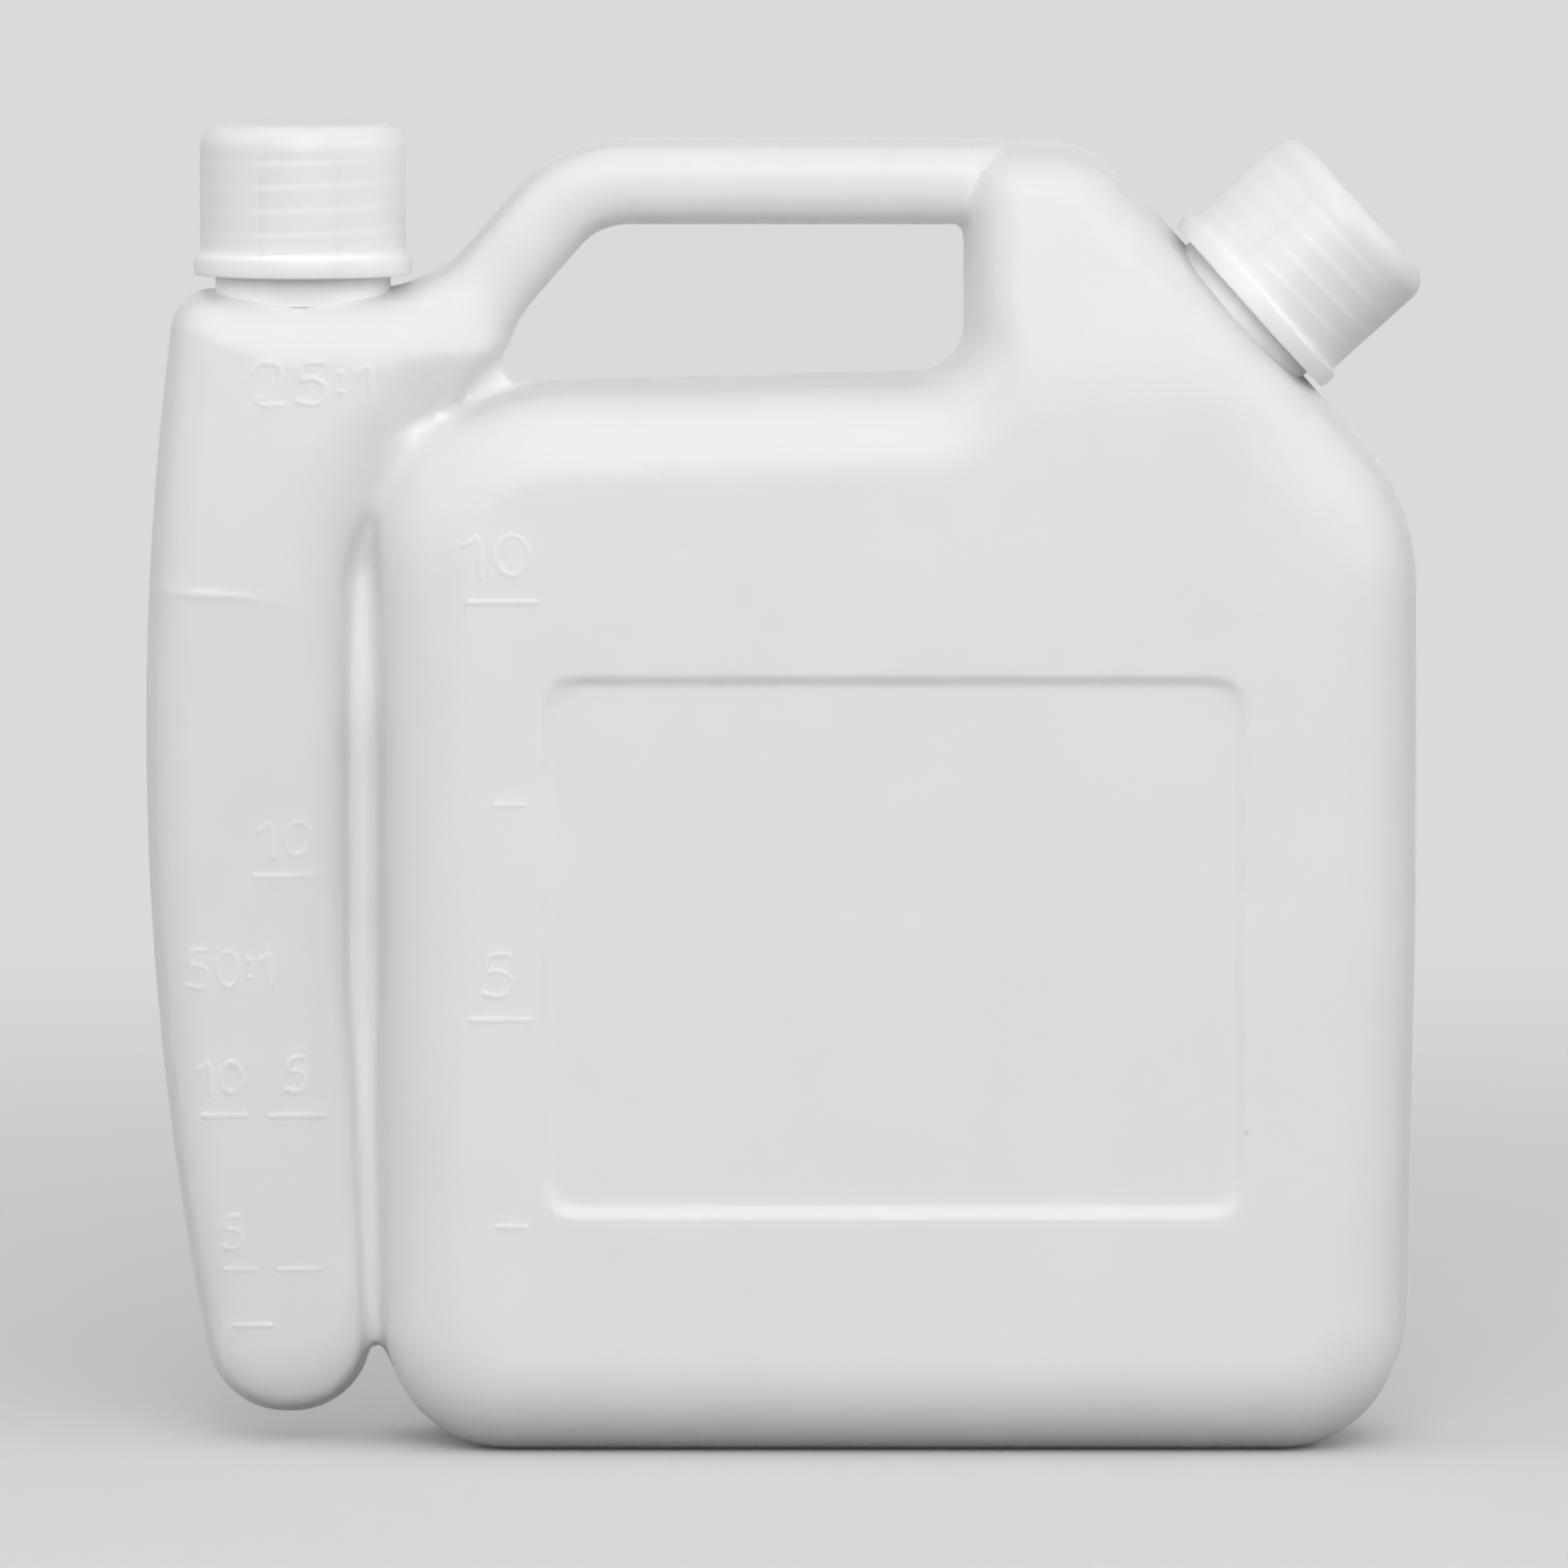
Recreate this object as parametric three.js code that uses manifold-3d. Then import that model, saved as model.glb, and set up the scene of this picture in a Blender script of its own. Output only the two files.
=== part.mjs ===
// Fuel mixing bottle: one blown shell with a fuel tank, a slim oil chamber and a hollow handle
// that joins them, and two screw caps with sealing discs.
// Millimetres, +Z up, front towards -Y. The origin is on the surface that it stands on.
import * as THREE from 'three';
import { mergeVertices } from 'three/addons/utils/BufferGeometryUtils.js';
import Module from 'manifold-3d';

const wasm = await Module();
wasm.setup();

// Shell
const WALL = 1.25;
const SMALLEST_CORNER = 1;
const CORNER_SHARE = 0.98;

// Fineness of the facets: degrees and length of an arc's step, and steps in a round
const ARC_STEP = 12;
const ARC_LENGTH = 24;
const ROUND_STEPS = 5;
const NECK_SIDES = 36;
const CAP_SIDES = 48;
const CAP_ROUND_STEPS = 4;
const MERGE_TOLERANCE = 1e-4;

// Fuel tank, with the tower that carries its neck
const TANK_LEFT = -65.4;
const TANK_WIDTH = 167.2;
const TANK_DEPTH = 50;
const TANK_ROUND = 14;
const TANK_DRAFT = 1.4;
const FOOT_CORNER = 21.4;
const FOOT_TAPER = 1.6;
const TAPER_HEIGHT = 82.8;
const DECK_HEIGHT = 170.8;
const DECK_RISE = 2.6;
const DECK_CORNER = 29.3;
const TOP_HEIGHT = 210.5;
const TOWER_OFFSET = 94.3;
const TOWER_LENGTH = 20.3;
const TOWER_CORNER = 9;
const TOWER_FALL = 7;
const TOWER_TOP_DEPTH = 38;
const DECK_TOWER_FILLET = 7.6;
const SHOULDER_TURN = 48;
const SHOULDER_CORNER = 18.2;
const SIDE_CORNER = 36;
const LEAN_HEIGHT = 172.5;

// Oil chamber
const CHAMBER_GAP = 4.3;
const CHAMBER_FOOT_GAP = 0.9;
const CHAMBER_NARROWS = 80;
const CHAMBER_FOOT = 4.8;
const CHAMBER_FOOT_LENGTH = 24.9;
const CHAMBER_FOOT_CORNER = 12.7;
const CHAMBER_TOP = 186.4;
const CHAMBER_TOP_LENGTH = 41;
const CHAMBER_CORNER = 7;
const CHAMBER_BULGE = 10.3;
const CHAMBER_BULGE_HEIGHT = 95;
const CHAMBER_BULGE_RADIUS = 514;
const CHAMBER_DEPTH = 37;
const CHAMBER_FOOT_DEPTH = 16.6;
const CHAMBER_CREASE = 138.7;
const CHAMBER_ROUND = 8;
const CHAMBER_FALL = 7;
const CHAMBER_VALLEY_FALL = 11;
const CHAMBER_DRAFT = 1.2;
const VALLEY_FILLET = 34;

// Handle
const HANDLE_THICKNESS = 13.6;
const HANDLE_DEPTH = 23;
const HANDLE_ROUND = 5;
const HANDLE_DRAFT = 0.8;
const HANDLE_BEND = 23.7;
const HANDLE_TURN = 49;
const HANDLE_START = 8.5;

// Pinched web between the chamber and the tank
const WEB_THICKNESS = 3;
const WEB_FOOT = 16.8;
const WEB_EDGE = 8.6;
const WEB_EDGE_TURN = -50;
const WEB_SETBACK = 1.8;
const WEB_OVERLAP = 6;

// Panel pressed into the front and back faces
const PANEL_START = 26.4;
const PANEL_LENGTH = 113.2;
const PANEL_FOOT = 38.6;
const PANEL_HEIGHT = 87.4;
const PANEL_CORNER = 6;
const PANEL_DEPTH = 1;
const PANEL_SLOPE = 1.6;

// Raised floor of the base, inside its standing land
const BASE_LAND = 7;
const BASE_WIDTH = 13;
const BASE_DEPTH = 1.2;
const BASE_SLOPE = 2.5;
const BASE_CORNER = 6;

// Necks
const NECK_RADIUS = 13.3;
const BORE_RADIUS = 12.2;
const COLLAR_RADIUS = 14.1;
const COLLAR_HEIGHT = 3.4;
const COLLAR_FLARE = 1.8;
const LIP_CHAMFER = 0.5;
const NECK_ROOT = 2.2;
const FUEL_NECK_OFFSET = 37.2;

// Screw caps and their sealing discs
const CAP_RADIUS = 16.5;
const CAP_HEIGHT = 24.4;
const OIL_CAP_LIFT = 2.4;
const FUEL_CAP_LIFT = 1.05;
const CAP_WALL = 1.65;
const CAP_TOP = 2.2;
const CAP_EDGE = 4;
const FLANGE_RADIUS = 17.55;
const FLANGE_HEIGHT = 3.1;
const LINER_THICKNESS = 2.7;
const SEAT_GAP = 0.3;

const radians = THREE.MathUtils.degToRad;
const along = (x, z, angle, distance) =>
  [x + distance * Math.cos(radians(angle)), z + distance * Math.sin(radians(angle))];

// Where the line through a, at one angle, meets the line through b, at another
function meet([ax, az], angleA, [bx, bz], angleB) {
  const [ux, uz] = along(0, 0, angleA, 1);
  const [vx, vz] = along(0, 0, angleB, 1);
  const t = ((bx - ax) * vz - (bz - az) * vx) / (ux * vz - uz * vx);
  return [ax + ux * t, az + uz * t];
}

// A closed mesh as a solid, and a solid as a geometry
function solid(geometry) {
  geometry.deleteAttribute('normal');
  geometry.deleteAttribute('uv');
  const merged = mergeVertices(geometry, MERGE_TOLERANCE);
  return new wasm.Manifold(new wasm.Mesh({
    numProp: 3,
    vertProperties: new Float32Array(merged.attributes.position.array),
    triVerts: new Uint32Array(merged.index.array),
  }));
}

function geometryOf(body) {
  const mesh = body.getMesh();
  const geometry = new THREE.BufferGeometry();
  geometry.setAttribute('position', new THREE.BufferAttribute(mesh.vertProperties, 3));
  geometry.setIndex(new THREE.BufferAttribute(mesh.triVerts, 1));
  return geometry;
}

// A counter-clockwise outline with rounded corners. Edge i starts at corner i and is moved
// inwards by insets[i]. A corner's round is limited by the edges beside it.
function rounded(corners, insets) {
  const count = corners.length;
  const edges = corners.map(({ at: [x, z] }, i) => {
    const [nextX, nextZ] = corners[(i + 1) % count].at;
    const length = Math.hypot(nextX - x, nextZ - z);
    const dir = [(nextX - x) / length, (nextZ - z) / length];
    return { dir, x: x - dir[1] * insets[i], z: z + dir[0] * insets[i] };
  });
  const moved = corners.map(({ radius }, i) => {
    const before = (i + count - 1) % count;
    const [a, b] = [edges[before], edges[i]];
    const cross = a.dir[0] * b.dir[1] - a.dir[1] * b.dir[0];
    const turn = Math.atan2(cross, a.dir[0] * b.dir[0] + a.dir[1] * b.dir[1]);
    const t = ((b.x - a.x) * b.dir[1] - (b.z - a.z) * b.dir[0]) / cross;
    const shift = (insets[before] + insets[i]) / 2;
    const size = turn > 0 ? Math.max(radius - shift, SMALLEST_CORNER) : radius + shift;
    const reach = size * Math.tan(Math.abs(turn) / 2);
    const swing = Math.abs(turn);
    const steps = Math.ceil(Math.max(swing / radians(ARC_STEP), swing * radius / ARC_LENGTH));
    return { x: a.x + a.dir[0] * t, z: a.z + a.dir[1] * t, dir: a.dir, turn, reach, steps, room: 1 };
  });
  moved.forEach((corner, i) => {
    const next = moved[(i + 1) % count];
    const length = Math.hypot(next.x - corner.x, next.z - corner.z);
    const share = Math.min(1, CORNER_SHARE * length / (corner.reach + next.reach));
    corner.room = Math.min(corner.room, share);
    next.room = Math.min(next.room, share);
  });
  return moved.flatMap(({ x, z, dir, turn, reach, steps, room }) => {
    const start = [x - dir[0] * reach * room, z - dir[1] * reach * room];
    const radius = reach * room / Math.tan(turn / 2);
    const centre = [start[0] - dir[1] * radius, start[1] + dir[0] * radius];
    return Array.from({ length: steps + 1 }, (_, k) => {
      const swing = turn * k / steps;
      const [dx, dz] = [start[0] - centre[0], start[1] - centre[1]];
      return new THREE.Vector2(
        centre[0] + dx * Math.cos(swing) - dz * Math.sin(swing),
        centre[1] + dx * Math.sin(swing) + dz * Math.cos(swing));
    });
  });
}

// A closed skin over outlines of as many points each, from the front one to the back one
function loft(rings) {
  const size = rings[0].points.length;
  const positions = rings.flatMap(({ y, points }) => points.flatMap((p) => [p.x, y, p.y]));
  const index = [];
  rings.slice(1).forEach((_, ring) => {
    for (let i = 0; i < size; i += 1) {
      const [a, b] = [ring * size + i, ring * size + (i + 1) % size];
      index.push(a, a + size, b, b, a + size, b + size);
    }
  });
  const last = rings.length - 1;
  for (const [a, b, c] of THREE.ShapeUtils.triangulateShape(rings[0].points, [])) {
    index.push(a, b, c);
  }
  for (const [a, b, c] of THREE.ShapeUtils.triangulateShape(rings[last].points, [])) {
    index.push(last * size + a, last * size + c, last * size + b);
  }
  const geometry = new THREE.BufferGeometry();
  geometry.setAttribute('position', new THREE.Float32BufferAttribute(positions, 3));
  geometry.setIndex(index);
  return geometry;
}

// A blown form: an outline at the parting plane that is drawn in by each edge's draft, then
// rounded over each edge's fall to the front and back faces. The inset gives its inner skin.
function blown(corners, depth, round, inset) {
  const straight = depth / 2 - round;
  const levels = [{ y: 0, points: rounded(corners, corners.map(() => inset)) }];
  for (let k = 0; k <= ROUND_STEPS; k += 1) {
    const turn = k / ROUND_STEPS * Math.PI / 2;
    const insets = corners.map(({ draft, fall }) =>
      inset + draft + (fall - inset) * (1 - Math.cos(turn)));
    const y = straight + (round - inset) * Math.sin(turn);
    levels.push({ y, points: rounded(corners, insets) });
  }
  const front = levels.slice(1).reverse().map(({ y, points }) => ({ y: -y, points }));
  return loft([...front, ...levels]);
}

// The facets of a skin, each parted where it crosses a height
function parted(geometry, height) {
  const { position } = geometry.attributes;
  const corner = (i) => new THREE.Vector3().fromBufferAttribute(position, geometry.index.getX(i));
  const facets = [];
  for (let i = 0; i < geometry.index.count; i += 3) {
    const sides = [[], []];
    const corners = [corner(i), corner(i + 1), corner(i + 2)];
    corners.forEach((p, k) => {
      const q = corners[(k + 1) % 3];
      const [low, high] = p.z < q.z ? [p, q] : [q, p];
      if (p.z <= height) sides[0].push(p);
      if (p.z >= height) sides[1].push(p);
      if (low.z < height && height < high.z) {
        const crossing = low.clone().lerp(high, (height - low.z) / (high.z - low.z));
        crossing.z = height;
        sides.forEach((side) => side.push(crossing));
      }
    });
    for (const side of sides.filter(({ length }) => length > 2)) {
      side.slice(2).forEach((p, k) => facets.push(side[0], side[k + 1], p));
    }
  }
  return facets;
}

// A skin with its depth drawn in from one height to another, where it has the far depth
function narrowed(skin, from, to, depth, farDepth, inset) {
  const points = parted(skin, from).map((point) => {
    const share = Math.max(0, (point.z - from) / (to - from));
    const half = depth / 2 + share * (farDepth - depth) / 2;
    return new THREE.Vector3(point.x, point.y * (half - inset) / (depth / 2 - inset), point.z);
  });
  return solid(new THREE.BufferGeometry().setFromPoints(points));
}

const edge = (at, radius, draft, fall) => ({ at, radius, draft, fall });

// Fuel tank and tower
const tankRight = TANK_LEFT + TANK_WIDTH;
const towerLeft = TANK_LEFT + TOWER_OFFSET;
const shoulderStart = [towerLeft + TOWER_LENGTH, TOP_HEIGHT];
const shoulderEnd = meet(shoulderStart, -SHOULDER_TURN, [tankRight, 0], 90);

function tank(inset) {
  const wall = [TANK_DRAFT, TANK_ROUND];
  const tower = [TANK_DRAFT, TOWER_FALL];
  const corners = [
    edge([TANK_LEFT, 0], FOOT_CORNER, 0, TANK_ROUND),
    edge([tankRight - FOOT_TAPER, 0], FOOT_CORNER, ...wall),
    edge([tankRight, TAPER_HEIGHT], SIDE_CORNER, ...wall),
    edge(shoulderEnd, SIDE_CORNER, ...tower),
    edge(shoulderStart, SHOULDER_CORNER, ...tower),
    edge([towerLeft, TOP_HEIGHT], TOWER_CORNER, ...tower),
    edge([towerLeft, DECK_HEIGHT + DECK_RISE], DECK_TOWER_FILLET, TANK_DRAFT, TANK_ROUND),
    edge([TANK_LEFT, DECK_HEIGHT], DECK_CORNER, ...wall),
  ];
  const skin = blown(corners, TANK_DEPTH, TANK_ROUND, inset);
  return narrowed(skin, LEAN_HEIGHT, TOP_HEIGHT, TANK_DEPTH, TOWER_TOP_DEPTH, inset);
}

// Handle, a bent bar from the oil chamber's shoulder to the tower
const legBack = HANDLE_TURN - 180;
const legOuter = [TANK_LEFT + HANDLE_START, CHAMBER_TOP];
const legInner = along(...legOuter, HANDLE_TURN - 90, HANDLE_THICKNESS);

function handle(inset) {
  const wall = [HANDLE_DRAFT, HANDLE_ROUND];
  const underside = TOP_HEIGHT - HANDLE_THICKNESS;
  const reach = HANDLE_THICKNESS;
  const corners = [
    edge(along(...legInner, legBack, reach), SMALLEST_CORNER, ...wall),
    edge(meet(legInner, HANDLE_TURN, [0, underside], 0), HANDLE_BEND - HANDLE_THICKNESS, ...wall),
    edge([towerLeft + TOWER_FALL, underside], SMALLEST_CORNER, ...wall),
    edge([towerLeft + TOWER_FALL, TOP_HEIGHT], SMALLEST_CORNER, ...wall),
    edge(meet(legOuter, HANDLE_TURN, [0, TOP_HEIGHT], 0), HANDLE_BEND, ...wall),
    edge(along(...legOuter, legBack, reach), SMALLEST_CORNER, ...wall),
  ];
  return solid(blown(corners, HANDLE_DEPTH, HANDLE_ROUND, inset));
}

// Oil chamber, with its bulged outer side and its side along the tank
const chamberRight = TANK_LEFT - CHAMBER_GAP;
const chamberFootRight = TANK_LEFT - CHAMBER_FOOT_GAP;
const chamberTopLeft = legOuter[0] - CHAMBER_TOP_LENGTH;

function chamber(inset) {
  const wall = [CHAMBER_DRAFT, CHAMBER_FALL];
  const valley = [CHAMBER_DRAFT, CHAMBER_VALLEY_FALL];
  const bulge = [chamberTopLeft - CHAMBER_BULGE, CHAMBER_BULGE_HEIGHT];
  const corners = [
    edge([chamberFootRight - CHAMBER_FOOT_LENGTH, CHAMBER_FOOT], CHAMBER_FOOT_CORNER, ...wall),
    edge([chamberFootRight, CHAMBER_FOOT], CHAMBER_FOOT_CORNER, ...wall),
    edge([chamberRight, CHAMBER_NARROWS], VALLEY_FILLET, ...valley),
    edge(meet(legInner, HANDLE_TURN, [chamberRight, 0], 90), VALLEY_FILLET, ...valley),
    edge(legInner, SMALLEST_CORNER, ...valley),
    edge(legOuter, SMALLEST_CORNER, ...wall),
    edge([chamberTopLeft, CHAMBER_TOP], CHAMBER_CORNER, ...wall),
    edge(bulge, CHAMBER_BULGE_RADIUS, ...wall),
  ];
  const skin = blown(corners, CHAMBER_DEPTH, CHAMBER_ROUND, inset);
  return narrowed(skin, CHAMBER_CREASE, CHAMBER_FOOT, CHAMBER_DEPTH, CHAMBER_FOOT_DEPTH, inset);
}

// Web, a strip pinched flat from the foot of the chamber to the finger hole
function web() {
  const [left, right] = [chamberRight - WEB_OVERLAP, TANK_LEFT + WEB_OVERLAP];
  const holeCorner = along(...legInner, legBack, WEB_SETBACK);
  const deckPoint = along(...holeCorner, WEB_EDGE_TURN, WEB_EDGE);
  const corners = [
    [left, WEB_FOOT],
    [right, WEB_FOOT],
    [right, DECK_HEIGHT - DECK_CORNER],
    along(...deckPoint, -HANDLE_TURN, WEB_OVERLAP),
    deckPoint,
    holeCorner,
    along(...holeCorner, HANDLE_TURN + 90, WEB_OVERLAP),
    [left, CHAMBER_CREASE],
  ];
  const points = corners.map(([x, z]) => new THREE.Vector2(x, z));
  return solid(loft([{ y: -WEB_THICKNESS / 2, points }, { y: WEB_THICKNESS / 2, points }]));
}

// A shallow panel with sloped sides, as the solid that presses it into a face. The grow makes
// the one that keeps the wall behind it whole.
function press(corners, face, depth, slope, grow) {
  const ring = (into) => ({
    y: into - face,
    points: rounded(corners, corners.map(() => slope - grow - slope / depth * (depth + grow - into))),
  });
  return solid(loft([ring(-depth), ring(depth + grow)]));
}

function panels(grow) {
  const [left, foot] = [TANK_LEFT + PANEL_START, PANEL_FOOT];
  const [right, top] = [left + PANEL_LENGTH, foot + PANEL_HEIGHT];
  const corners = [[left, foot], [right, foot], [right, top], [left, top]]
    .map((at) => ({ at, radius: PANEL_CORNER }));
  const front = press(corners, TANK_DEPTH / 2, PANEL_DEPTH, PANEL_SLOPE, grow);
  return front.add(front.rotate([0, 0, 180]).translate([left + right, 0, 0]));
}

// The raised floor of the base
function baseFloor(grow) {
  const left = TANK_LEFT + FOOT_CORNER + BASE_LAND;
  const right = tankRight - FOOT_TAPER - FOOT_CORNER - BASE_LAND;
  const half = BASE_WIDTH / 2;
  const corners = [[left, -half], [right, -half], [right, half], [left, half]]
    .map((at) => ({ at, radius: BASE_CORNER }));
  const floor = press(corners, 0, BASE_DEPTH, BASE_SLOPE, grow);
  return floor.rotate([90, 0, 0]);
}

// A round form about its own upright axis, from the profile of one side
function turned(profile, sides) {
  const points = profile.map(([r, h]) => new THREE.Vector2(r, h));
  return new THREE.LatheGeometry(points, sides).rotateX(Math.PI / 2);
}

// Necks. Each stands on a shoulder, with its axis square to it, and its cap is held off the
// shoulder by the cap's lift.
const capRoof = CAP_HEIGHT - CAP_TOP;
const linerTop = capRoof - SEAT_GAP;
const linerFoot = linerTop - LINER_THICKNESS;
const oilNeck = { x: chamberTopLeft + CHAMBER_TOP_LENGTH / 2, z: CHAMBER_TOP, tilt: 0, lift: OIL_CAP_LIFT };
const [fuelX, fuelZ] = along(...shoulderStart, -SHOULDER_TURN, FUEL_NECK_OFFSET);
const fuelNeck = { x: fuelX, z: fuelZ, tilt: SHOULDER_TURN, lift: FUEL_CAP_LIFT };
const lipOf = ({ lift }) => lift + linerFoot - SEAT_GAP;

const standing = (part, { x, z, tilt }) => part.rotate([0, tilt, 0]).translate([x, 0, z]);

function neck(place) {
  const lip = lipOf(place);
  const profile = [
    [0, -NECK_ROOT],
    [COLLAR_RADIUS, -NECK_ROOT],
    [COLLAR_RADIUS, COLLAR_HEIGHT],
    [NECK_RADIUS, COLLAR_HEIGHT + COLLAR_RADIUS - NECK_RADIUS],
    [NECK_RADIUS, lip],
    [0, lip],
  ];
  return standing(solid(turned(profile, NECK_SIDES)), place);
}

function bore(place) {
  const lip = lipOf(place);
  const inside = COLLAR_RADIUS - WALL;
  const profile = [
    [0, -NECK_ROOT - WALL],
    [BORE_RADIUS + COLLAR_FLARE, -NECK_ROOT - WALL],
    [BORE_RADIUS + COLLAR_FLARE, -WALL],
    [inside, 0],
    [BORE_RADIUS, COLLAR_HEIGHT - inside + BORE_RADIUS],
    [BORE_RADIUS, lip - LIP_CHAMFER],
    [BORE_RADIUS + 2 * LIP_CHAMFER, lip + LIP_CHAMFER],
    [0, lip + LIP_CHAMFER],
  ];
  return standing(solid(turned(profile, NECK_SIDES)), place);
}

function bottle() {
  const outside = tank(0).subtract(panels(0)).subtract(baseFloor(0))
    .add(chamber(0)).add(handle(0)).add(web()).add(neck(oilNeck)).add(neck(fuelNeck));
  const hollow = tank(WALL).subtract(panels(WALL)).subtract(baseFloor(WALL))
    .add(chamber(WALL)).add(handle(WALL)).add(bore(oilNeck)).add(bore(fuelNeck));
  return geometryOf(outside.subtract(hollow));
}

// Screw caps, each from its own foot
function cap() {
  const inside = CAP_RADIUS - CAP_WALL;
  const round = Array.from({ length: CAP_ROUND_STEPS + 1 }, (_, k) => {
    const turn = radians(90 * k / CAP_ROUND_STEPS);
    return [CAP_RADIUS - CAP_EDGE * (1 - Math.cos(turn)), CAP_HEIGHT - CAP_EDGE * (1 - Math.sin(turn))];
  });
  return turned([
    [0, capRoof],
    [inside, capRoof],
    [inside, 0],
    [FLANGE_RADIUS, 0],
    [FLANGE_RADIUS, FLANGE_HEIGHT],
    [CAP_RADIUS, FLANGE_HEIGHT],
    ...round,
    [0, CAP_HEIGHT],
  ], CAP_SIDES);
}

function liner() {
  const radius = CAP_RADIUS - CAP_WALL - SEAT_GAP;
  return turned([[0, linerFoot], [radius, linerFoot], [radius, linerTop], [0, linerTop]], CAP_SIDES);
}

// Materials: milky natural plastic for the blown shell and the caps, white foam for the discs
const shellPlastic = new THREE.MeshStandardMaterial({ color: '#e6e6e3', roughness: 0.42 });
const capPlastic = new THREE.MeshStandardMaterial({ color: '#efefec', roughness: 0.35 });
const foam = new THREE.MeshStandardMaterial({ color: '#f4f4f2', roughness: 0.8 });

function named(name, geometry, material) {
  const mesh = new THREE.Mesh(geometry, material);
  mesh.name = name;
  return mesh;
}

function closure(name, { x, z, tilt, lift }) {
  const group = new THREE.Group();
  group.add(named(name, cap(), capPlastic), named(`${name}_liner`, liner(), foam));
  group.rotation.y = radians(tilt);
  const [footX, footZ] = along(x, z, 90 - tilt, lift);
  group.position.set(footX, 0, footZ);
  return group;
}

const fuelMixingBottle = new THREE.Group();
fuelMixingBottle.add(
  named('bottle', bottle(), shellPlastic),
  closure('oil_cap', oilNeck),
  closure('fuel_cap', fuelNeck),
);

export default fuelMixingBottle;
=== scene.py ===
# Fuel mixing bottle: the dressed model. Working sizes are millimetres and become metres at the end.
import math

import bpy
import numpy as np
from mathutils import Matrix, Vector


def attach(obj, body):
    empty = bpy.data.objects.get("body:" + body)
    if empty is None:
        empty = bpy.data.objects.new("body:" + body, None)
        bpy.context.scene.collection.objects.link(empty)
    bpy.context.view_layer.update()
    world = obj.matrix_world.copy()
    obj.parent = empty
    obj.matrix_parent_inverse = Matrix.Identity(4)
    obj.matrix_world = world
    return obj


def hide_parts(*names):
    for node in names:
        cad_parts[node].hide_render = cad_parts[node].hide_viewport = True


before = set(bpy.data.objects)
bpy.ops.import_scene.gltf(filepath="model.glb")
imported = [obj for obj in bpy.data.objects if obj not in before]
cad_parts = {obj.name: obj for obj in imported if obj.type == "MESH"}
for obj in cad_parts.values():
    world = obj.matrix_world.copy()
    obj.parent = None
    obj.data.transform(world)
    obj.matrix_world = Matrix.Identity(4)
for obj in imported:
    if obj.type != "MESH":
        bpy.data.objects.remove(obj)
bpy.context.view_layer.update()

MM = 0.001

# Shell
WALL = 1.25
TANK_LEFT, TANK_RIGHT = -65.4, 101.8
TANK_DEPTH, TANK_ROUND, TANK_DRAFT = 50.0, 14.0, 1.4
DECK_HEIGHT, TOP_HEIGHT, LEAN_HEIGHT = 170.8, 210.5, 172.5
TOWER_LEFT, TOWER_FALL, TOWER_TOP_DEPTH = 28.9, 7.0, 38.0
SHOULDER_START = (49.2, TOP_HEIGHT)
SHOULDER_TURN = 48.0

# Oil chamber
CHAMBER_RIGHT, CHAMBER_FOOT = -69.7, 4.8
CHAMBER_TOP, CHAMBER_TOP_LEFT = 186.4, -97.9
CHAMBER_DEPTH, CHAMBER_FOOT_DEPTH = 37.0, 16.6
CHAMBER_ROUND, CHAMBER_FALL, VALLEY_FALL, CHAMBER_DRAFT = 8.0, 7.0, 11.0, 1.2
CHAMBER_CREASE, CREASE_RIDGE = 138.7, 0.24

# Handle
HANDLE_THICKNESS, HANDLE_DEPTH, HANDLE_ROUND, HANDLE_DRAFT = 13.6, 23.0, 5.0, 0.8
HANDLE_BEND, HANDLE_TURN = 23.7, 49.0
LEG_OUTER = (-56.9, CHAMBER_TOP)

# Web, panels and base
WEB_THICKNESS, WEB_FOOT, WEB_FILLET = 3.0, 16.8, 2.4
PANEL_LEFT, PANEL_RIGHT, PANEL_FOOT, PANEL_TOP = -39.0, 74.2, 38.6, 126.0
PANEL_CORNER, PANEL_DEPTH, PANEL_SLOPE = 6.0, 1.0, 2.0
BASE_LEFT, BASE_RIGHT, BASE_HALF = -37.0, 71.8, 6.5
BASE_CORNER, BASE_DEPTH, BASE_SLOPE = 6.0, 1.2, 2.5

# Parting line, and the wider saddle where the groove runs out below the handle
FLASH, SADDLE = 0.16, 3.4

# Painted glow: the shell's colour made lighter near the thin web, for the light that it lets through
PAINTED_WEB_GLOW = 0.05

# Scale marks on the front: number, left, foot, right and top; line, left, right and height
BEAD_WIDTH, BEAD_HEIGHT, BEAD_PROUD = 1.5, 0.5, 0.18
NUMBERS = [
    ("10", -51.1, 141.6, -40.7, 148.6), ("5", -48.2, 74.3, -43.5, 81.1),
    ("25:1", -85.0, 168.8, -65.9, 175.6), ("10", -84.2, 95.9, -75.9, 101.8),
    ("50:1", -96.1, 74.5, -82.3, 80.8), ("10", -94.1, 57.4, -87.1, 62.8),
    ("5", -80.1, 57.7, -76.8, 63.3), ("5", -90.5, 32.1, -87.4, 37.4)]
LINES = [
    (-51.0, -38.8, 137.6), (-47.0, -40.6, 105.1), (-50.9, -39.7, 70.6), (-46.8, -40.5, 37.3),
    (-85.7, -73.6, 92.8), (-94.3, -85.6, 53.8), (-83.4, -73.0, 53.8), (-90.8, -84.6, 28.7),
    (-82.1, -73.9, 28.7), (-89.3, -81.8, 19.5)]

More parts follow.
